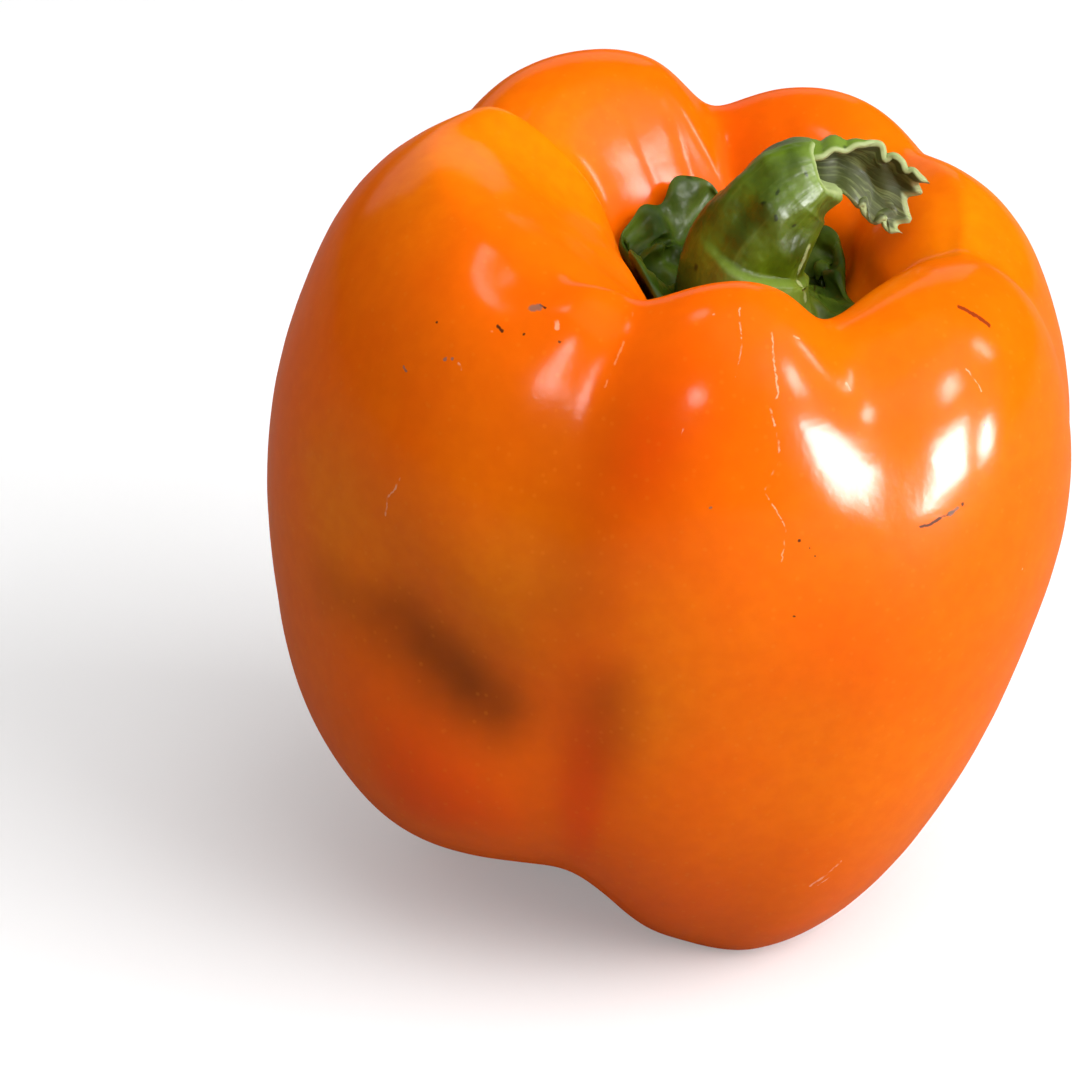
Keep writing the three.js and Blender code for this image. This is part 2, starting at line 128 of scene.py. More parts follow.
# The fruit, in millimetres. Creases and lobes go round the upright axis; a place runs along the
# profile, from 0 under the fruit over the shoulder to 1 at the bottom of the stem hollow.
fruit = {
    "profile": [(0, 9.5), (7, 8), (12.5, 3.4), (18.5, 0.6), (25.3, 2.9), (32, 11.3), (37.5, 24),
                (41.3, 40), (43, 54), (42.2, 66), (38.4, 76.5), (31.5, 82.6), (24, 82), (18.2, 76),
                (14.6, 69.6), (8.5, 66.6), (0, 66)],
    "spineFoot": (15, 16), "spineTop": (24.5, 64),   # the ring that creases are drawn towards
    "creases": [   # azimuth at the foot and top; depth at the foot, side and rim; width
        (-106, -108, 0.53, 0.10, 0.27, 13), (-52, -67, 0.02, 0.03, 0.31, 14),
        (-14, -7, 0.12, 0.08, 0.30, 15), (50, 38, 0.06, 0.04, 0.22, 13),
        (80, 87, 0.30, 0.07, 0.27, 12), (140, 146, 0.15, 0.07, 0.32, 12),
        (200, 214, 0.05, 0.02, 0.05, 13)],
    "creaseSoftness": 0.35, "creaseSpread": 0.5,
    "lobes": {   # how each lobe differs from the average one
        "at":    [-91, -40, 10, 60, 124.5, 166, 202, 240],
        "reach": [-0.5, 2.2, 1, 0, 0, 0, 0.2, 0],
        "crown": [2.8, -2.2, -1.2, 1.1, 4.5, 4.4, 3.8, 1],
        "brow":  [0, 1, -2.2, 0, 1.8, -1.4, -1.6, -1],
        "swell": [0, 2.5, 4.5, 3, 0, 4, 5, 1.5],
        "lift":  [0.3, 0, 1.5, 0, 0, 0, 7, 11.5],
        "toe":   [-5, 1.6, 0.4, -1, 0, -3.5, -11, -9.5]},
    "lobeSharpness": 14, "toeRadius": 30,
    "dents": [   # azimuth, place, width, length, tilt, depth
        (-125, 0.462, 17, 0.042, -0.0016, 2.4), (-134, 0.37, 20, 0.06, 0, -1.6)],
    "folds": [   # points as azimuth and place, then width and height in millimetres; grooves go down
        ([(-112, 0.8), (-119, 0.74)], 3, -1.2), ([(-119, 0.74), (-130, 0.68)], 5, -0.8),
        ([(-113, 0.72), (-113, 0.67)], 5, 1.3),
        ([(160, 0.755), (152, 0.79)], 7, 3.4)],
    "degree": 0.62, "placeLength": 180,   # millimetres on the skin per degree and per place
    "axis": {"footX": -4.45, "topX": 8, "bend": 1.15, "height": 82, "floorX": 5.8, "centreY": -0.25},
    "restHeight": 2,
    "streaks": [   # faint upright grooves in the slope of the hollow, like the folds
        ([(103, 0.76), (103, 0.87)], 1.7, -0.1), ([(117, 0.77), (117, 0.85)], 1.3, -0.05),
        ([(90, 0.75), (90, 0.85)], 1.2, -0.06), ([(70, 0.75), (68, 0.86)], 2, -0.08),
        ([(156, 0.738), (172, 0.738)], 9, -0.33)],   # this one keeps the highest crown low
    "undulation": 0.1, "undulationLength": 24,   # slow unevenness of the skin
    "pucker": 0.012, "puckerLength": 5,
    "columns": 400, "rows": 236,
}


# The measures of the lobes near an azimuth, blended by how near each lobe is
def lobeAt(azimuth, measure):
    lobes = fruit["lobes"]
    weights = [np.exp(fruit["lobeSharpness"] * (np.cos(np.radians(azimuth - at)) - 1)) for at in lobes["at"]]
    return sum(w * value for w, value in zip(weights, lobes[measure])) / sum(weights)


# The shortest distance over the skin, in millimetres, to a chain of points
def distanceToChain(azimuth, place, chain):
    shortest = np.inf
    for (fromAt, fromPlace), (toAt, toPlace) in zip(chain, chain[1:]):
        x, y = turnBetween(azimuth, fromAt) * fruit["degree"], (place - fromPlace) * fruit["placeLength"]
        runX, runY = (toAt - fromAt) * fruit["degree"], (toPlace - fromPlace) * fruit["placeLength"]
        share = np.clip((x * runX + y * runY) / (runX ** 2 + runY ** 2), 0, 1)
        shortest = np.minimum(shortest, np.hypot(x - share * runX, y - share * runY))
    return shortest


# The skin: a round profile whose creases are drawn towards a ring inside the flesh, with each
# lobe's measures added, the dents taken away, and the whole leaning along its axis
def skinPoints(azimuth, place):
    azimuth, place = np.broadcast_arrays(np.asarray(azimuth, float), np.asarray(place, float))
    mirrored = [(-fruit["profile"][k][0], fruit["profile"][k][1]) for k in (1, -2)]
    profile = throughPoints(fruit["profile"], place, *mirrored)
    profileRadius, profileHeight = profile[..., 0], profile[..., 1]
    shoulder = ramp(0.45, 0.74, place)
    foot = 1 - ramp(0.14, 0.42, place)
    side = 1 - np.maximum(shoulder, foot)
    awayFromPole = ramp(0, 9, profileRadius)
    pinch = 0
    for footAt, topAt, footDepth, sideDepth, rimDepth, width in fruit["creases"]:
        at = footAt + (topAt - footAt) * ramp(0.1, 0.8, place)
        across = turnBetween(azimuth, at) / (width * (1 + fruit["creaseSpread"] * side))
        depth = footDepth * foot + sideDepth * side + rimDepth * shoulder
        softness = fruit["creaseSoftness"]
        pinch = pinch + depth * np.exp(softness - np.hypot(across, softness))
    up = ramp(0.28, 0.72, place)
    (footR, footZ), (topR, topZ) = fruit["spineFoot"], fruit["spineTop"]
    spineRadius = footR + (topR - footR) * up
    spineHeight = footZ + (topZ - footZ) * up
    fold = sum(high * bump(distanceToChain(azimuth, place, chain), wide) for chain, wide, high in fruit["folds"])
    pinch = pinch - fold / np.hypot(profileRadius - spineRadius, profileHeight - spineHeight)
    kept = 1 - pinch * awayFromPole
    radius = spineRadius + kept * (profileRadius - spineRadius)
    height = spineHeight + kept * (profileHeight - spineHeight)
    inHollow = ramp(0.72, 0.84, place) * (1 - ramp(0.86, 0.97, place))
    tucked = np.sin(np.pi / 2 * np.minimum(profileRadius / fruit["toeRadius"], 1))
    radius = radius + awayFromPole * (
        lobeAt(azimuth, "reach") * side
        + lobeAt(azimuth, "brow") * shoulder * ramp(24, 34, profileRadius)
        - lobeAt(azimuth, "swell") * inHollow
        + lobeAt(azimuth, "toe") * foot * tucked)
    height = height + awayFromPole * (
        lobeAt(azimuth, "crown") * shoulder * ramp(14, 26, profileRadius)
        + lobeAt(azimuth, "lift") * foot * ramp(3, 24, profileRadius))
    for dentAt, dentPlace, width, length, tilt, depth in fruit["dents"]:
        across = turnBetween(azimuth, dentAt)
        along = place - dentPlace - tilt * across
        radius = radius - depth * bump(across, width) * bump(along, length)
    radius = np.maximum(radius, 0)
    axis = fruit["axis"]
    risen = np.maximum(height / axis["height"], 0)
    axisX = axis["footX"] + axis["topX"] * risen ** axis["bend"] + axis["floorX"] * ramp(0.7, 0.88, place)
    return np.stack([axisX + radius * np.cos(np.radians(azimuth)),
                     axis["centreY"] + radius * np.sin(np.radians(azimuth)),
                     height - fruit["restHeight"]], axis=-1)


# Points above the skin, out along its normal
def overSkin(azimuth, place, distance):
    place = np.asarray(place, float)
    aside = skinPoints(azimuth + 0.5, place) - skinPoints(azimuth - 0.5, place)
    along = skinPoints(azimuth, np.minimum(place + 0.003, 1)) - skinPoints(azimuth, place - 0.003)
    normal = np.cross(aside, along)
    normal /= np.maximum(np.linalg.norm(normal, axis=-1, keepdims=True), 1e-9)
    return skinPoints(azimuth, place) + normal * np.asarray(distance)[..., None]


def makeFruit():
    azimuth = np.linspace(0, 360, fruit["columns"], endpoint=False)[None, :]
    place = np.linspace(0, 1, fruit["rows"])[:, None]
    points = skinPoints(azimuth, place)
    normals = gridNormals(points)
    relief = (fruit["undulation"] * (ripple(points, fruit["undulationLength"], 3) - 0.8)
              + fruit["pucker"] * ripple(points, fruit["puckerLength"], 4))
    for chain, wide, high in fruit["streaks"]:
        relief = relief + high * bump(distanceToChain(azimuth, place, chain), wide)
    fade = ramp(0, 0.05, place) * (1 - ramp(0.95, 1, place))   # none at the poles
    points = points + normals * (relief * fade)[..., None]
    points[..., 2] = np.maximum(points[..., 2], 0)   # flat where it stands
    # green tint and painted shade in the dent of the left lobe and along the front crease
    clear = 1
    for chain, wide, strength in skinStainsAndShade:
        clear = clear * (1 - strength * bump(distanceToChain(azimuth, place, chain), wide))
    # yellower and redder tones, with painted sheen on the shoulders and the lit right side
    hue = sum(amount * bump(turnBetween(azimuth, at), width) * bump(place - centre, length)
              for at, centre, width, length, amount in skinTonesAndSheen)
    fields = {"stainAndShade": 1 - clear, "hue": np.clip(hue, -1, 1),
              "height": np.clip(points[..., 2] / fruit["axis"]["height"], 0, 1),
              "hollow": ramp(0.74, 0.9, place) * np.ones_like(azimuth)}
    return ringMesh("fruit_skin", points, fields)


# Soft brownish green patches, partly the skin's own green tint and partly painted shade in the dent of the left lobe;
# the last chain is painted shade along the front crease. Points as azimuth and place, then width in millimetres and
# strength
skinStainsAndShade = [
    ([(-147, 0.47), (-133, 0.463)], 3.2, 0.45), ([(-133, 0.463), (-126, 0.448)], 4.2, 0.75),
    ([(-126, 0.448), (-117, 0.44)], 3.4, 0.85), ([(-99.4, 0.46), (-99, 0.425)], 3.2, 0.45),
    ([(-112, 0.6), (-108, 0.51)], 5.5, 0.33)]

# Where the skin is yellower, above 0, or redder: azimuth, place, width, length and amount. The yellow on the shoulders
# round the hollow and on the lit right side is partly painted sheen.
skinTonesAndSheen = [
    (-99, 0.584, 9, 0.05, -0.8), (-126, 0.39, 14, 0.035, -1.0), (-101.5, 0.4, 4, 0.05, -0.8),
    (-147, 0.5, 12, 0.06, 0.5), (-116, 0.505, 10, 0.05, 0.35), (-92.5, 0.445, 6, 0.06, 0.35),
    (-178, 0.71, 22, 0.05, 0.5), (157, 0.78, 30, 0.06, 0.8), (-48, 0.75, 14, 0.04, 0.5),
    (-2.6, 0.732, 14, 0.05, 0.6), (40, 0.6, 30, 0.08, 0.4), (75, 0.35, 30, 0.06, -0.6),
    (120, 0.55, 25, 0.1, 0.4), (-42, 0.42, 24, 0.15, 0.35), (165, 0.4, 20, 0.05, -0.5)]


# The calyx: a crumpled cap of blunt sepals that lies on the skin of the hollow, in millimetres
calyx = {
    "gap": 0.35, "rim": 0.893, "collar": 0.955, "thickness": 1.5, "edge": 0.8,
    "sepals": [   # azimuth, reach over the skin in places, width, and lift of the edge
        (103, 0.066, 15.5, 1.3), (121, 0.028, 10, 0.5), (139, 0.05, 15.5, 0.9), (43, 0.056, 20, 0.9),
        (-10, 0.014, 13, 0.3), (-62, 0.04, 17, 0.4), (-122, 0.042, 24, 0.3), (180, 0.05, 25, 0.3)],
    "ribHeight": 0.9, "ribWidth": 10,
    "bumps": [   # azimuth, place, width, length and height of the knobs and dimples
        (128, 0.862, 7, 0.011, 1.5), (131, 0.893, 8, 0.012, 1.7), (103, 0.846, 8, 0.01, -0.7),
        (116, 0.872, 6, 0.012, -0.9), (30, 0.885, 9, 0.012, 1.4), (44, 0.862, 8, 0.009, -0.8)],
    "crumple": 0.42, "crumpleLength": 3.4,
    "rows": {"under": 20, "edge": 8, "top": 44, "turn": 24},
}


# How far the sepals reach and how much they lift at an azimuth, and where their middle rib is
def sepalAt(azimuth):
    reach, curl, rib = 0, 0, 0
    for at, sepalReach, width, lift in calyx["sepals"]:
        away = turnBetween(azimuth, at)
        blunt = np.exp(-np.abs(away / width) ** 3)
        reach = reach + sepalReach * blunt
        curl = curl + lift * blunt
        rib = rib + bump(away, calyx["ribWidth"])
    return calyx["rim"] - reach, curl, rib


# A point of the calyx: spread is 0 at the stem and 1 at the edge, level 0 underneath, 1 on top
def calyxPoints(azimuth, spread, level):
    rim, curl, rib = sepalAt(azimuth)
    place = calyx["collar"] + (rim - calyx["collar"]) * spread
    lifted = calyx["gap"] + curl * spread ** 3
    ribs = calyx["ribHeight"] * rib * ramp(0, 0.3, spread) * (1 - ramp(0.6, 1, spread))
    thickness = calyx["thickness"] + (calyx["edge"] - calyx["thickness"]) * spread ** 2 + ribs
    for at, centre, width, length, height in calyx["bumps"]:
        thickness = thickness + height * bump(turnBetween(azimuth, at), width) * bump(place - centre, length)
    return overSkin(azimuth, place, lifted + thickness * level)


# The stem: a ribbed, lumpy tube along a curved middle line, with a torn end, in millimetres
stem = {
    "line": [(7.4, 0, 69), (7.6, -0.2, 73.6), (9.7, -0.3, 78.1), (12.4, 0, 81.4), (15.6, 0.4, 83.2)],
    "radii": [6.9, 6.1, 5.3, 4.8, 3.5],
    "ribs": {"count": 5, "depth": 0.06, "turn": 35, "twist": 30},
    "lumps": [(-60, 0.45, 0.6), (-115, 0.62, 0.5), (20, 0.5, 0.6), (140, 0.4, 0.7)],
    "lumpWidth": 24, "lumpLength": 0.1,
    # The swollen sheath round the foot of the stem ends at a share of the length, lower at the right
    "sheath": {"at": -72, "width": 55, "end": 0.275, "slant": 0.015, "step": 0.04, "height": 1.4},
    "breakSlant": 1.2, "breakDepth": 2.0, "breakWall": 0.66,
    "wrinkle": 0.14, "wrinkleLength": 3.4, "pimples": 0.02, "pimpleLength": 1.1,
    "columns": 288, "rows": {"bark": 100, "lip": 8, "pith": 14},
}
down = np.array([0, 0, -fruit["restHeight"]])


# The stem's middle, direction, two cross directions and radius, at shares of its length
def stemFrame(along):
    line = np.array(stem["line"]) + down
    centre = throughPoints(line, along)
    tangent = throughPoints(line, np.minimum(along + 0.01, 1)) - throughPoints(line, np.maximum(along - 0.01, 0))
    tangent /= np.linalg.norm(tangent, axis=-1, keepdims=True)
    right = np.cross([0, 1, 0], tangent)
    right /= np.linalg.norm(right, axis=-1, keepdims=True)
    radius = np.interp(along, np.linspace(0, 1, len(stem["radii"])), stem["radii"])
    return centre, tangent, right, np.cross(tangent, right), radius


# 1 on the sheath, falling to 0 over the step at its upper end and away from its middle
def sheathMask(azimuth, along):
    sheath = stem["sheath"]
    end = sheath["end"] - sheath["slant"] * np.cos(np.radians(azimuth))
    return bump(turnBetween(azimuth, sheath["at"]), sheath["width"]) * (1 - ramp(end, end + sheath["step"], along))


# A point of the bark, drawn in by share and sunk back along the stem from its place
def barkPoints(azimuth, along, share=1, sunk=0):
    azimuth, along, share, sunk = np.broadcast_arrays(azimuth, along, share, sunk)
    centre, tangent, right, back, radius = stemFrame(along)
    ribs = stem["ribs"]
    reach = radius * (1 + ribs["depth"] * np.cos(np.radians(
        ribs["count"] * (azimuth - ribs["turn"] - ribs["twist"] * along))))
    for at, lumpAlong, height in stem["lumps"]:
        reach = reach + (height * bump(turnBetween(azimuth, at), stem["lumpWidth"])
                         * bump(along - lumpAlong, stem["lumpLength"]))
    angle = np.radians(azimuth)
    reach = reach + stem["sheath"]["height"] * sheathMask(azimuth, along)
    front = np.maximum(-np.sin(angle), 0)
    return (centre + right * (share * reach * np.cos(angle))[..., None]
            + back * (share * reach * np.sin(angle))[..., None]
            - tangent * (sunk + stem["breakSlant"] * front * ramp(0.7, 1, along))[..., None])


# The calyx turning up into the stem: turn goes from 0 on the calyx to 1 on the bark, along the
# curve that two straight lines to a corner between them would enclose
def collarPoints(azimuth, turn):
    start = calyxPoints(azimuth, np.zeros_like(turn), 1)
    end = barkPoints(azimuth, 0.2 * np.ones_like(turn))
    corner = barkPoints(azimuth, np.zeros_like(turn)).copy()
    corner[..., 2] = (start[..., 2] + corner[..., 2]) / 2
    turn = turn[..., None]
    return start * (1 - turn) ** 2 + corner * 2 * turn * (1 - turn) + end * turn ** 2


def makeStem():
    azimuth = np.linspace(0, 360, stem["columns"], endpoint=False)[None, :]
    column = lambda values: np.asarray(values, float)[:, None]
    counts, barkCounts = calyx["rows"], stem["rows"]
    spread = column(np.linspace(0, 1, counts["under"]))
    underPole = overSkin(azimuth, column([1 - 1e-6, 0.99, 0.98, 0.97]), calyx["gap"])
    underPole[0] = underPole[0].mean(axis=0)
    under = calyxPoints(azimuth, spread, 0)
    edgeTurn = column(np.linspace(0, 1, counts["edge"] + 2)[1:-1])
    edge = calyxPoints(azimuth, 1 + 0.04 * np.sin(np.pi * edgeTurn), edgeTurn)
    top = calyxPoints(azimuth, column(np.linspace(1, 0, counts["top"])), 1)
    turn = collarPoints(azimuth, column(np.linspace(0, 1, counts["turn"] + 1)[1:]) + 0 * azimuth)
    along = column(np.linspace(0.2, 1, barkCounts["bark"] + 1)[1:])
    bark = barkPoints(azimuth, along)
    lipTurn = column(np.linspace(0, 1, barkCounts["lip"] + 1)[1:])
    lip = barkPoints(azimuth, 1, 1 - (1 - stem["breakWall"]) * lipTurn, -0.25 * np.sin(np.pi * lipTurn))
    pithTurn = column(np.linspace(0, 1, barkCounts["pith"] + 1)[1:])
    pith = barkPoints(azimuth, 1, stem["breakWall"] * (1 - pithTurn), stem["breakDepth"] * np.sin(np.pi / 2 * pithTurn))
    parts = [underPole, under, edge, top, turn, bark, lip, pith]
    points = np.vstack(parts)
    ends = np.cumsum([len(part) for part in parts])
    row = np.arange(len(points))[:, None] + 0 * azimuth
    onTop = ramp(ends[1], ends[2] + 6, row)
    relief = (calyx["crumple"] * ripple(points, calyx["crumpleLength"], 11) * (1 - ramp(ends[3], ends[4], row))
              + stem["wrinkle"] * ripple(points * [1, 1, 0.7], stem["wrinkleLength"], 12) * ramp(ends[3], ends[4], row)
              + stem["pimples"] * ripple(points, stem["pimpleLength"], 13))
    points = points + gridNormals(points) * (relief * onTop * (1 - ramp(ends[6], ends[7] - 1, row)))[..., None]
    run = np.clip((row - ends[4]) / (ends[5] - ends[4]), 0, 1)
    fields = {"leafy": 1 - ramp(ends[3] - 4, ends[4] + 6, row), "torn": ramp(ends[5] - 1, ends[5] + 3, row),
              "run": run, "inside": 0,
              "sheath": sheathMask(azimuth, 0.2 + 0.8 * run) * ramp(ends[2], ends[3] + 6, row)}
    return ringMesh("stem_bark", points, fields)


# The torn strip of bark that folds over the break and hangs down: its lower edge at the back and
# its ridge, in millimetres. In front of the ridge a lip of it still points forwards.
flap = {
    "lower": [(13.6, 0.8, 80.4), (17.6, 0.5, 80.2), (20.1, 0.1, 77.4), (23.9, -0.4, 76.2)],
    "ridge": [(12.6, 1.2, 85.2), (17.6, 1.2, 85.6), (21.5, 0.8, 85.3), (26.9, -0.4, 81.3)],
    "lip": (0, -3.2, -0.8), "lipShare": 0.3, "lipEnd": 0.62,
    "bow": 1.5, "thickness": 1.1, "edge": 0.7,
    "bites": [(0.72, 1, 0.025, 0.9), (0.86, 1, 0.02, 0.5), (0.6, 0, 0.03, 0.6), (0.83, 0, 0.03, 0.7)],
    "notches": 0.04, "notchLength": 1.5,
    "ragged": 0.22, "crease": 0.3,
    "rows": 110, "across": 80,
}


# A bowed sheet as a flat tube: across goes over its inner face and back over its outer one
def makeFlap():
    lower, ridge = np.array(flap["lower"]) + down, np.array(flap["ridge"]) + down
    across = np.linspace(0, 1, flap["across"])[None, :]
    share = np.linspace(0, 1, flap["rows"])[:, None]
    torn = ripple(np.stack([across, 0 * across, 0 * across], axis=-1) * 7, flap["notchLength"], 23)
    along = share * (1 - flap["notches"] * (1 + torn))
    fold = flap["lipShare"] * np.clip(1 - share / flap["lipEnd"], 0, 1)
    upTo = np.minimum(across / (1 - fold), 1)
    forward = np.clip((across - 1 + fold) / np.maximum(fold, 1e-6), 0, 1) * fold / flap["lipShare"]
    middle = 1 - (2 * upTo - 1) ** 2
    low, high = throughPoints(lower, along), throughPoints(ridge, along)
    points = low + (high - low) * upTo[..., None] + forward[..., None] * np.array(flap["lip"])
    inward = flap["ragged"] * ripple(points * [1, 0, 1], 2.2, 21) * (1 - middle) ** 3
    for at, side, width, depth in flap["bites"]:
        inward = inward - (2 * side - 1) * depth * bump(share - at, width) * bump(across - side, 0.25)
    points = points + (high - low) / np.linalg.norm(high - low, axis=-1, keepdims=True) * inward[..., None]
    points[..., 1] += flap["bow"] * middle + flap["crease"] * ripple(points * [1, 0, 1], 3, 22)
    normals = np.cross(np.gradient(points, axis=1), np.gradient(points, axis=0))
    normals /= np.maximum(np.linalg.norm(normals, axis=-1, keepdims=True), 1e-9)
    rim = 1 - (2 * across - 1) ** 2
    thin = (1 - ramp(0.95, 1, share)) * np.sqrt(np.clip(rim * 14, 0, 1))
    thickness = (flap["edge"] + (flap["thickness"] - flap["edge"]) * rim) * np.maximum(thin, 0.02)
    thickness[0] = 0
    thickness[-1] = 0
    offset = normals * (thickness / 2)[..., None]
    tube = np.concatenate([points - offset, (points + offset)[:, ::-1]], axis=1)
    edge = np.maximum(ramp(0.93, 0.99, share), 1 - ramp(0.04, 0.16, rim))
    both = np.concatenate([edge, edge[:, ::-1]], axis=1)
    inner = np.concatenate([0 * edge + 1, 0 * edge], axis=1)
    return ringMesh("stem_flap", tube, {"leafy": 0, "torn": both, "run": 1, "inside": inner, "sheath": 0})


# Adds a node, sets its inputs by name or number, and links those given as another node's socket
def addNode(tree, kind, inputs=None, **settings):
    node = tree.nodes.new(kind)
    for key, value in settings.items():
        setattr(node, key, value)
    for key, value in (inputs or {}).items():
        if isinstance(value, bpy.types.NodeSocket):
            tree.links.new(value, node.inputs[key])
        else:
            node.inputs[key].default_value = value
    return node


def calculate(tree, operation, a, b=0.0):
    return addNode(tree, "ShaderNodeMath", {0: a, 1: b}, operation=operation).outputs[0]


def vectors(tree, operation, a, b=(0, 0, 0)):
    return addNode(tree, "ShaderNodeVectorMath", {0: a, 1: b}, operation=operation)


def mixColors(tree, factor, a, b):
    return addNode(tree, "ShaderNodeMix", {0: factor, 6: a, 7: b}, data_type="RGBA").outputs[2]


# Rises smoothly from 0 to 1 as the value goes from low to high, or falls where low is the larger
def fadeBetween(tree, value, low, high, top=1.0):
    return addNode(tree, "ShaderNodeMapRange", {"Value": value, "From Min": low, "From Max": high, "To Max": top},
                   interpolation_type="SMOOTHSTEP").outputs["Result"]


def noiseAt(tree, point, scale, detail=2.0):
    return addNode(tree, "ShaderNodeTexNoise", {"Vector": point, "Scale": scale, "Detail": detail})


def readField(tree, name):
    return addNode(tree, "ShaderNodeAttribute", attribute_name=name).outputs["Fac"]


def newGroup(name, inputs, outputs):
    group = bpy.data.node_groups.new(name, "ShaderNodeTree")
    for label, kind in inputs.items():
        group.interface.new_socket(label, in_out="INPUT", socket_type="NodeSocket" + kind)
    for label, kind in outputs.items():
        group.interface.new_socket(label, in_out="OUTPUT", socket_type="NodeSocket" + kind)
    return group, group.nodes.new("NodeGroupInput").outputs, group.nodes.new("NodeGroupOutput").inputs


# Points shifted at random by up to Amount, so that what is drawn with them gets ragged edges
def makeRaggedPoint():
    group, given, result = newGroup("raggedPoint", {"Point": "Vector", "Scale": "Float", "Amount": "Float"},
                                    {"Point": "Vector"})
    noise = noiseAt(group, given["Point"], given["Scale"]).outputs["Color"]
    centred = vectors(group, "SUBTRACT", noise, (0.5, 0.5, 0.5)).outputs[0]
    shift = addNode(group, "ShaderNodeVectorMath", {0: centred, 3: given["Amount"]}, operation="SCALE").outputs[0]
    group.links.new(vectors(group, "ADD", given["Point"], shift).outputs[0], result["Point"])
    return group


# 1 on the straight line from Start to End, falling to 0 at Width from it
def makeMarkMask():
    group, given, result = newGroup(
        "markMask", {"Point": "Vector", "Start": "Vector", "End": "Vector", "Width": "Float"}, {"Mask": "Float"})
    fromStart = vectors(group, "SUBTRACT", given["Point"], given["Start"]).outputs[0]
    run = vectors(group, "SUBTRACT", given["End"], given["Start"]).outputs[0]
    share = calculate(group, "DIVIDE", vectors(group, "DOT_PRODUCT", fromStart, run).outputs["Value"],
                      vectors(group, "DOT_PRODUCT", run, run).outputs["Value"])
    clamped = addNode(group, "ShaderNodeClamp", {"Value": share}).outputs[0]
    along = addNode(group, "ShaderNodeVectorMath", {0: run, 3: clamped}, operation="SCALE").outputs[0]
    distance = vectors(group, "DISTANCE", fromStart, along).outputs["Value"]
    inner = calculate(group, "MULTIPLY", given["Width"], 0.45)
    group.links.new(fadeBetween(group, distance, given["Width"], inner), result["Mask"])
    return group


# 1 inside small round flecks, one in each cell of Scale, with only a Share of the cells having one
def makeFleckMask():
    group, given, result = newGroup(
        "fleckMask", {"Point": "Vector", "Scale": "Float", "Size": "Float", "Share": "Float"}, {"Mask": "Float"})
    cells = addNode(group, "ShaderNodeTexVoronoi", {"Vector": given["Point"], "Scale": given["Scale"]})
    inner = calculate(group, "MULTIPLY", given["Size"], 0.3)
    inside = fadeBetween(group, cells.outputs["Distance"], given["Size"], inner)
    drawn = addNode(group, "ShaderNodeSeparateColor", {0: cells.outputs["Color"]}).outputs[0]
    chosen = calculate(group, "LESS_THAN", drawn, given["Share"])
    group.links.new(calculate(group, "MULTIPLY", inside, chosen), result["Mask"])
    return group


# Uneven growth: 0 to 1 in soft clouds of the Scale, with finer clouds in them
def makeCloudMask():
    group, given, result = newGroup("cloudMask", {"Point": "Vector", "Scale": "Float", "Contrast": "Float"},
                                    {"Mask": "Float"})
    noise = noiseAt(group, given["Point"], given["Scale"], 4.0).outputs["Fac"]
    half = calculate(group, "DIVIDE", 0.5, given["Contrast"])
    low = calculate(group, "SUBTRACT", 0.5, half)
    high = calculate(group, "ADD", 0.5, half)
    group.links.new(fadeBetween(group, noise, low, high), result["Mask"])
    return group


groups = {"ragged": makeRaggedPoint(), "mark": makeMarkMask(), "fleck": makeFleckMask(), "cloud": makeCloudMask()}


def useGroup(tree, name, inputs):
    node = addNode(tree, "ShaderNodeGroup", node_tree=groups[name])
    for key, value in inputs.items():
        if isinstance(value, bpy.types.NodeSocket):
            tree.links.new(value, node.inputs[key])
        else:
            node.inputs[key].default_value = value
    return node.outputs[0]


# What the skin is coloured and finished with. Colours are linear red, green and blue.
skinLook = {
    "ripe": (0.90, 0.132, 0.0005, 1), "yellow": (0.90, 0.22, 0.0005, 1), "red": (0.86, 0.08, 0.0005, 1),
    # the brownish green for the patches is both a tint and painted shade in the dent and the crease
    "mottle": (0.72, 0.09, 0.0005, 1), "stainAndShade": (0.16, 0.03, 0.0005, 1), "pore": (0.90, 0.24, 0.02, 1),
    "roughness": 0.4, "specular": 0.0, "coat": 0.27, "coatRoughness": 0.16, "flesh": 0.08,
    "inks": {   # the colour of each kind of mark, and how much it covers
        "dark": ((0.035, 0.012, 0.006, 1), 0.92), "grey": ((0.20, 0.13, 0.10, 1), 0.8),
        "cork": ((0.95, 0.50, 0.30, 1), 0.6), "pink": ((0.92, 0.34, 0.12, 1), 0.5),
        "maroon": ((0.16, 0.018, 0.006, 1), 0.85)},
    "broken": ("cork", "pink"),   # the marks with gaps in them
}

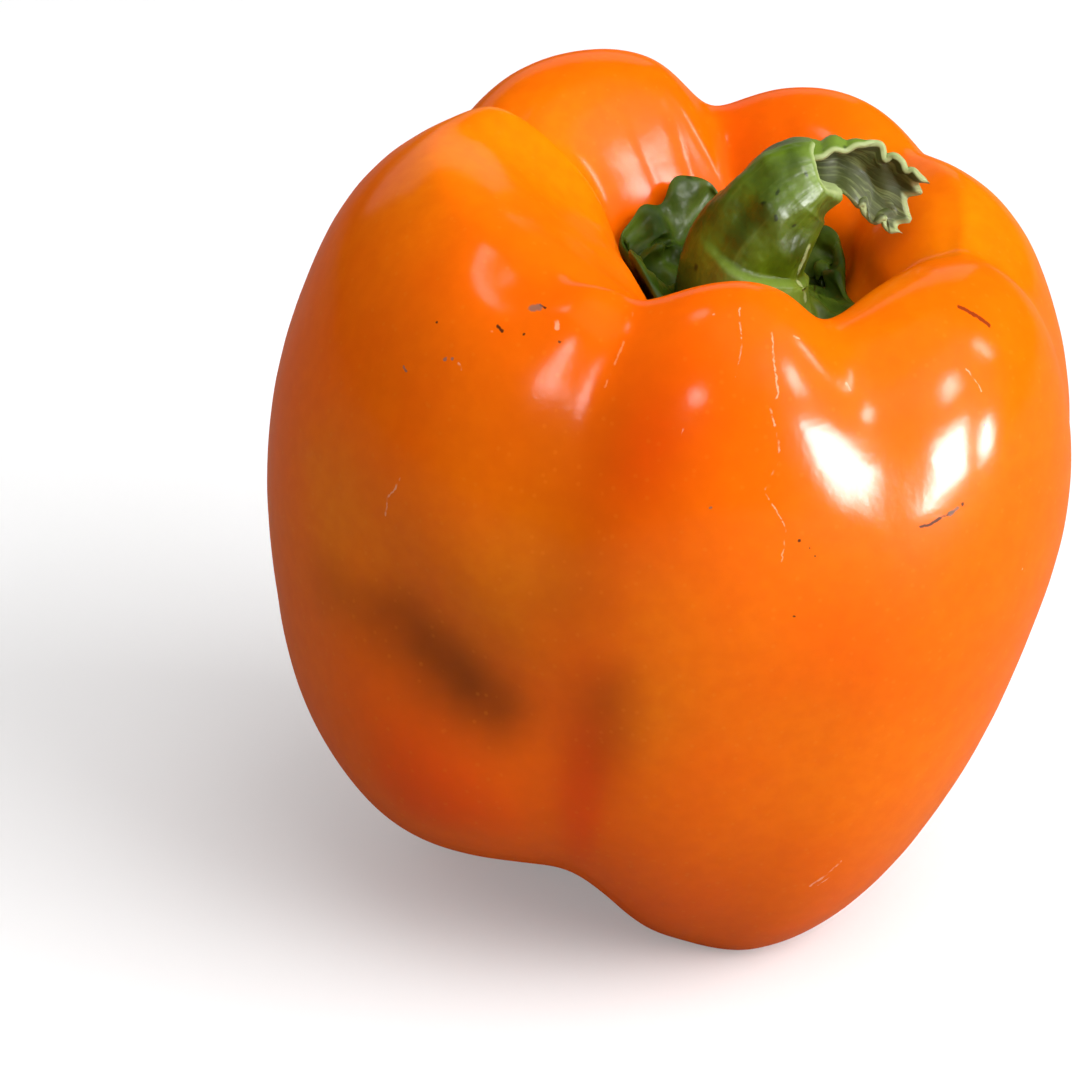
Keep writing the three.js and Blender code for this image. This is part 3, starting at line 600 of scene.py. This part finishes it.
# The marks by kind: half their width in millimetres, then azimuth and place of their points
skinMarks = {
    "dark": [
        (0.22, [(-127.0, 0.645), (-125.8, 0.643)]), (0.17, [(-122.2, 0.646)]), (0.2, [(-116, 0.649)]),
        (0.18, [(-137, 0.629)]), (0.16, [(-122, 0.669), (-120.9, 0.668)]),
        (0.22, [(-75.6, 0.54)]), (0.14, [(-74, 0.536)]), (0.16, [(-73.2, 0.531)]), (0.2, [(-75.2, 0.499)]),
        (0.2, [(-58, 0.544), (-56.4, 0.5445), (-54.8, 0.547)]), (0.17, [(-54.8, 0.547), (-53, 0.5485)]),
        (0.26, [(-51.6, 0.551)]), (0.15, [(-46.8, 0.593)])],
    "grey": [
        (0.5, [(-123.2, 0.665), (-122, 0.667)]), (0.24, [(-131.6, 0.616)]), (0.3, [(-132.8, 0.614)]),
        (0.2, [(-139.4, 0.599), (-138.6, 0.598)]), (0.28, [(-53.6, 0.5475), (-52.4, 0.5495)]),
        (0.2, [(-88.4, 0.56)])],
    "cork": [
        (0.3, [(-117.8, 0.6605), (-117.2, 0.6565)]), (0.18, [(-127.4, 0.64)]), (0.16, [(-130.2, 0.615), (-129.6, 0.613)]),
        (0.13, [(-134.2, 0.55), (-134.9, 0.54), (-136.1, 0.533), (-136.2, 0.523)]),
        (0.1, [(-86.2, 0.683), (-86.2, 0.669), (-85.8, 0.65), (-86.6, 0.632)]), (0.16, [(-90.8, 0.677)]),
        (0.12, [(-80.6, 0.663), (-80.4, 0.64), (-79.8, 0.621), (-81, 0.612), (-79.8, 0.599), (-79.2, 0.585),
                (-79.8, 0.581), (-81.2, 0.568)]),
        (0.08, [(-81.2, 0.568), (-79, 0.556), (-77.6, 0.547), (-77.8, 0.529)]),
        (0.16, [(-76.4, 0.663), (-75.6, 0.662)]), (0.24, [(-67.3, 0.637), (-66.8, 0.633)]),
        (0.1, [(-47.4, 0.632), (-46.4, 0.622), (-46, 0.614)]), (0.16, [(-38.6, 0.493)]),
        (0.1, [(-93.6, 0.603), (-93.8, 0.597)]),
        (0.2, [(-60, 0.341), (-57.6, 0.35), (-56.6, 0.356)]), (0.12, [(-58.6, 0.34), (-56.4, 0.347)])],
    "pink": [(0.16, [(-106.2, 0.729), (-105.9, 0.69), (-105.8, 0.658), (-106.3, 0.645), (-107, 0.63)])],
    "maroon": [(0.34, [(-42.4, 0.677), (-40.8, 0.665), (-39.4, 0.653)])],
}


# The largest mask of the marks of one kind, each a chain of short lines on the fruit's surface
def marksOfKind(tree, kind, ragged, piece):
    total = None
    for width, chain in skinMarks[kind]:
        onSkin = [piece.closest_point_on_mesh(Vector(skinPoints(at, place) * mm))[1] for at, place in chain]
        for start, end in zip(onSkin, onSkin[1:] or onSkin):
            mask = useGroup(tree, "mark", {"Point": ragged, "Start": start, "End": end, "Width": width * mm})
            total = mask if total is None else calculate(tree, "MAXIMUM", total, mask)
    return total


def makeSkinMaterial(piece):
    material = bpy.data.materials.new("waxySkin")
    material.use_nodes = True
    tree = material.node_tree
    tree.nodes.clear()
    point = addNode(tree, "ShaderNodeTexCoord").outputs["Object"]
    clouds = useGroup(tree, "cloud", {"Point": point, "Scale": 34, "Contrast": 2.2})
    fineClouds = useGroup(tree, "cloud", {"Point": point, "Scale": 520, "Contrast": 2.2})
    low = fadeBetween(tree, readField(tree, "height"), 0.5, 0.05)
    drift = calculate(tree, "MULTIPLY", calculate(tree, "SUBTRACT", clouds, 0.5), 0.5)
    hue = calculate(tree, "ADD", readField(tree, "hue"), drift)
    # yellower where the hue field is high, which includes painted sheen on the shoulders and the right side
    color = mixColors(tree, fadeBetween(tree, hue, -0.2, 1), skinLook["ripe"], skinLook["yellow"])
    redness = calculate(tree, "MAXIMUM", fadeBetween(tree, hue, 0.1, -1), calculate(tree, "MULTIPLY", low, 0.45))
    color = mixColors(tree, redness, color, skinLook["red"])
    color = mixColors(tree, calculate(tree, "MULTIPLY", fineClouds, 0.2), color, skinLook["mottle"])
    # darkens the dent of the left lobe and the front crease: painted shade, mixed with a green tint
    stainAndShade = calculate(tree, "MULTIPLY", readField(tree, "stainAndShade"), fadeBetween(tree, clouds, -0.6, 0.8))
    color = mixColors(tree, stainAndShade, color, skinLook["stainAndShade"])
    pores = useGroup(tree, "fleck", {"Point": point, "Scale": 900, "Size": 0.3, "Share": 0.4})
    color = mixColors(tree, calculate(tree, "MULTIPLY", pores, 0.16), color, skinLook["pore"])
    ragged = useGroup(tree, "ragged", {"Point": point, "Scale": 1700, "Amount": 0.0004})
    gaps = noiseAt(tree, point, 950, 1.0).outputs["Fac"]
    worn = 0.0
    for kind, (ink, cover) in skinLook["inks"].items():
        mask = marksOfKind(tree, kind, ragged, piece)
        if kind in skinLook["broken"]:
            mask = calculate(tree, "MULTIPLY", mask, fadeBetween(tree, gaps, 0.36, 0.56))
        color = mixColors(tree, calculate(tree, "MULTIPLY", mask, cover), color, ink)
        worn = calculate(tree, "MAXIMUM", mask, worn)
    roughness = calculate(tree, "ADD", calculate(tree, "MULTIPLY", worn, 0.3), skinLook["roughness"])
    roughness = calculate(tree, "ADD", roughness, calculate(tree, "MULTIPLY", fineClouds, 0.06))
    orangePeel = noiseAt(tree, point, 1100, 2.0).outputs["Fac"]
    peel = addNode(tree, "ShaderNodeBump", {"Strength": 0.5, "Distance": 0.00003, "Height": orangePeel})
    shader = addNode(tree, "ShaderNodeBsdfPrincipled", {
        "Base Color": color, "Roughness": roughness, "Normal": peel.outputs[0], "IOR": 1.45,
        "Specular IOR Level": skinLook["specular"],
        "Subsurface Weight": skinLook["flesh"], "Subsurface Radius": (0.8, 0.25, 0.05), "Subsurface Scale": 0.003,
        "Coat Weight": skinLook["coat"], "Coat Roughness": skinLook["coatRoughness"], "Coat Normal": peel.outputs[0]})
    output = addNode(tree, "ShaderNodeOutputMaterial", {"Surface": shader.outputs[0]})
    output.name = "skinOutput"
    return material


stemLook = {
    "bright": (0.105, 0.18, 0.002, 1), "deep": (0.035, 0.068, 0.001, 1), "brown": (0.07, 0.06, 0.002, 1),
    # pale is the colour of the sheath and fibres, and of the painted light on the stem's top end
    "pale": (0.24, 0.36, 0.045, 1), "leaf": (0.022, 0.05, 0.002, 1), "leafLight": (0.085, 0.14, 0.007, 1),
    # inner is the torn strip's inner face: dark olive that is partly painted shade, with paler fibres
    "fleck": (0.012, 0.022, 0.002, 1), "inner": (0.055, 0.065, 0.01, 1), "fibre": (0.15, 0.18, 0.05, 1),
    "torn": (0.36, 0.43, 0.17, 1), "roughness": 0.42, "coat": 0.04, "coatRoughness": 0.2, "specular": 0.25,
    # a pale strand of torn skin at the foot, half its width and its points in millimetres
    "strand": (0.45, [(14.2, -4, 74), (13.7, -4, 72.2), (13.3, -4, 70.6), (13.6, -4, 68.6)]),
    "spots": (0.35, [(10.3, -6, 81.6), (8.3, -6, 80.2), (10.2, -6, 78.2), (12.2, -5, 77)]),
}


def makeStemMaterial(piece):
    material = bpy.data.materials.new("greenStem")
    material.use_nodes = True
    tree = material.node_tree
    tree.nodes.clear()
    coordinates = addNode(tree, "ShaderNodeTexCoord")
    point = coordinates.outputs["Object"]
    lengthwise = addNode(tree, "ShaderNodeMapping", {"Vector": coordinates.outputs["UV"], "Scale": (34, 3, 1)}).outputs[0]
    leafy, torn, run, inside, sheath = (readField(tree, name) for name in ("leafy", "torn", "run", "inside", "sheath"))
    fibres = noiseAt(tree, lengthwise, 1.0, 2.0).outputs["Fac"]
    clouds = useGroup(tree, "cloud", {"Point": point, "Scale": 190, "Contrast": 2.4})
    broad = useGroup(tree, "cloud", {"Point": point, "Scale": 90, "Contrast": 3.0})
    ragged = useGroup(tree, "ragged", {"Point": point, "Scale": 900, "Amount": 0.001})
    flecks = useGroup(tree, "fleck", {"Point": ragged, "Scale": 470, "Size": 0.24, "Share": 0.24})
    bark = mixColors(tree, clouds, stemLook["deep"], stemLook["bright"])
    bark = mixColors(tree, calculate(tree, "MULTIPLY", broad, 0.4), bark, stemLook["brown"])
    # paler towards the torn top end and on the strip's outer face: painted light on the top of the stem; the sheath and
    # fibres are paler in their own colour
    light = calculate(tree, "MULTIPLY", fadeBetween(tree, run, 0.8, 1.0), 0.4)
    light = calculate(tree, "MAXIMUM", light, calculate(tree, "MULTIPLY", sheath, 0.6))
    light = calculate(tree, "MAXIMUM", light, fadeBetween(tree, fibres, 0.55, 0.8, 0.25))
    bark = mixColors(tree, light, bark, stemLook["pale"])
    leaf = mixColors(tree, clouds, stemLook["leaf"], stemLook["leafLight"])
    color = mixColors(tree, calculate(tree, "SUBTRACT", leafy, sheath), bark, leaf)
    color = mixColors(tree, calculate(tree, "MULTIPLY", flecks, 0.8), color, stemLook["fleck"])
    # the strip's inner face: dark olive that is partly painted shade, streaked with paler fibres
    streaks = fadeBetween(tree, fibres, 0.48, 0.66)
    inner = mixColors(tree, streaks, stemLook["inner"], stemLook["fibre"])
    color = mixColors(tree, calculate(tree, "MULTIPLY", inside, 0.9), color, inner)
    onBark = lambda points: [piece.closest_point_on_mesh(Vector(place) * mm)[1] for place in points]
    width, points = stemLook["spots"]
    spots = 0.0
    for spot in onBark(points):
        mask = useGroup(tree, "mark", {"Point": ragged, "Start": spot, "End": spot, "Width": width * mm})
        spots = calculate(tree, "MAXIMUM", mask, spots)
    color = mixColors(tree, calculate(tree, "MULTIPLY", spots, 0.8), color, stemLook["fleck"])
    width, points = stemLook["strand"]
    points = onBark(points)
    pale = torn
    for start, end in zip(points, points[1:]):
        strand = useGroup(tree, "mark", {"Point": ragged, "Start": start, "End": end, "Width": width * mm})
        pale = calculate(tree, "MAXIMUM", pale, strand)
    color = mixColors(tree, calculate(tree, "MULTIPLY", pale, 0.85), color, stemLook["torn"])
    grain = addNode(tree, "ShaderNodeBump", {"Strength": 0.35, "Distance": 0.0003, "Height": fibres})
    knobs = noiseAt(tree, point, 600, 2.0).outputs["Fac"]
    knobbly = addNode(tree, "ShaderNodeBump", {"Strength": 0.45, "Distance": 0.0003, "Height": knobs,
                                               "Normal": grain.outputs[0]})
    dry = calculate(tree, "MAXIMUM", pale, inside)
    roughness = calculate(tree, "ADD", calculate(tree, "MULTIPLY", dry, 0.3), stemLook["roughness"])
    shader = addNode(tree, "ShaderNodeBsdfPrincipled", {
        "Base Color": color, "Roughness": roughness, "Normal": knobbly.outputs[0],
        "Specular IOR Level": stemLook["specular"],
        "Coat Weight": stemLook["coat"], "Coat Roughness": stemLook["coatRoughness"]})
    output = addNode(tree, "ShaderNodeOutputMaterial", {"Surface": shader.outputs[0]})
    output.name = "stemOutput"
    return material


# The fruit and the stem

fruitPiece = makeFruit()
fruitPiece.data.materials.append(makeSkinMaterial(fruitPiece))
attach(fruitPiece, "root")
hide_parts("fruit")
print("fruit made:", len(fruitPiece.data.polygons), "faces")

stemPiece = makeStem()
flapPiece = makeFlap()
# the strip's root lies inside the rim of the stem
with bpy.context.temp_override(active_object=stemPiece, selected_editable_objects=[stemPiece, flapPiece]):
    bpy.ops.object.join()
bpy.context.view_layer.update()
stemPiece.data.materials.clear()
stemPiece.data.materials.append(makeStemMaterial(stemPiece))
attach(stemPiece, "root")
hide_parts("stem_with_calyx")
print("stem made:", len(stemPiece.data.polygons), "faces")


# Camera, floor and light. The camera looks down at the front from the photograph's angle.

view = {"elevation": 27, "target": (-0.01345, -0.00025, 0.039), "distance": 0.42, "lens": 131.67, "sensor": 36}


def makeCamera():
    camera = bpy.data.objects.new("camera", bpy.data.cameras.new("camera"))
    elevation = math.radians(view["elevation"])
    camera.location = Vector(view["target"]) + view["distance"] * Vector((0, -math.cos(elevation), math.sin(elevation)))
    camera.rotation_euler = (math.pi / 2 - elevation, 0, 0)
    camera.data.lens = view["lens"]
    camera.data.sensor_width = view["sensor"]
    bpy.context.collection.objects.link(camera)
    bpy.context.scene.camera = camera


# Soft lights: azimuth and elevation round the fruit, distance, width and height in metres, power,
# whether they light surfaces softly, and whether the glossy skin mirrors them
softLights = {
    "key": (-27, 30, 1.0, (0.9, 0.8), 11.2, True, False),
    "ceiling": (-45, 62, 1.2, (1.2, 1.2), 8.8, True, False),
    "window": (-36, 8, 1.0, (0.3, 0.24), 27.0, False, True),
    "lowWindow": (-16, 4, 1.0, (0.12, 0.1), 6.0, False, True),
    "upperWindow": (-32, 32, 1.0, (0.15, 0.17), 4.0, False, True),
    "sideWindow": (0, 33, 1.0, (0.07, 0.2), 1.6, False, True),
    "overCamera": (-107, 31, 1.0, (0.13, 0.15), 1.7, False, True),
    "skylight": (-174, 72, 1.2, (0.16, 0.16), 0.9, False, True),
    "backdrop": (102, 20, 1.2, (1.2, 0.5), 1.6, False, True),
}


def makeLights():
    middle = Vector((0, 0, 0.045))
    for name, (azimuth, elevation, distance, size, power, soft, mirrored) in softLights.items():
        lamp = bpy.data.lights.new(name, "AREA")
        lamp.shape = "RECTANGLE"
        lamp.size, lamp.size_y = size
        lamp.energy = power
        light = bpy.data.objects.new(name, lamp)
        turn, rise = math.radians(azimuth), math.radians(elevation)
        away = Vector((math.cos(rise) * math.cos(turn), math.cos(rise) * math.sin(turn), math.sin(rise)))
        light.location = middle + distance * away
        light.visible_diffuse = soft
        light.visible_glossy = mirrored
        light.rotation_euler = away.to_track_quat("Z", "Y").to_euler()
        bpy.context.collection.objects.link(light)
    world = bpy.data.worlds.new("surroundings")
    world.use_nodes = True
    tree = world.node_tree
    glossy = addNode(tree, "ShaderNodeLightPath").outputs["Is Glossy Ray"]
    strength = addNode(tree, "ShaderNodeMapRange", {"Value": glossy, "To Min": 0.47, "To Max": 0.015})
    background = tree.nodes["Background"]
    background.inputs["Color"].default_value = (1, 1, 1, 1)
    tree.links.new(strength.outputs["Result"], background.inputs["Strength"])
    bpy.context.scene.world = world
    bpy.context.scene.view_settings.view_transform = "Standard"


def makeFloor():
    half = 3.0
    mesh = bpy.data.meshes.new("floor")
    mesh.from_pydata([(-half, -half, 0), (half, -half, 0), (half, half, 0), (-half, half, 0)], [], [(0, 1, 2, 3)])
    floor = bpy.data.objects.new("floor", mesh)
    bpy.context.collection.objects.link(floor)
    material = bpy.data.materials.new("paleFloor")
    material.use_nodes = True
    tree = material.node_tree
    shader = tree.nodes["Principled BSDF"]
    path = addNode(tree, "ShaderNodeLightPath").outputs   # it throws little light back at the fruit
    tone = mixColors(tree, path["Is Camera Ray"], (0.25, 0.25, 0.25, 1), (0.72, 0.72, 0.72, 1))
    tone = mixColors(tree, path["Is Glossy Ray"], tone, (0.35, 0.35, 0.35, 1))
    tree.links.new(tone, shader.inputs["Base Color"])
    shader.inputs["Emission Color"].default_value = (1, 1, 1, 1)
    tree.links.new(calculate(tree, "MULTIPLY", path["Is Camera Ray"], 0.25), shader.inputs["Emission Strength"])
    shader.inputs["Roughness"].default_value = 0.8
    mesh.materials.append(material)


makeCamera()
makeLights()
makeFloor()
print("camera, lights and floor set")
